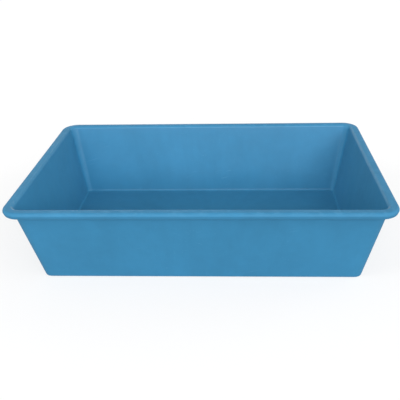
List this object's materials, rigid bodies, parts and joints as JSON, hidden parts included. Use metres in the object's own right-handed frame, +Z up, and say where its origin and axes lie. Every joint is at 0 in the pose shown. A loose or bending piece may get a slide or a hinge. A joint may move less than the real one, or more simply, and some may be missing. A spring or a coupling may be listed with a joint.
{
  "type": "plastering mud tub",
  "caption": "Open rectangular plastic tub with leaning walls, a flat rim turned down into a lip and a shallow foot ring, for mixing and carrying plaster or joint compound.",
  "frame": {"origin": "centre of the foot, on the surface that the tub stands on", "axes": "+X along the length, +Y across the width, +Z up out of the mouth"},
  "size_m": [0.56, 0.37, 0.129],
  "materials": {
    "tub_plastic": "satin"
  },
  "bodies": {
    "root": {"tub": "tub_plastic"}
  },
  "joints": []
}
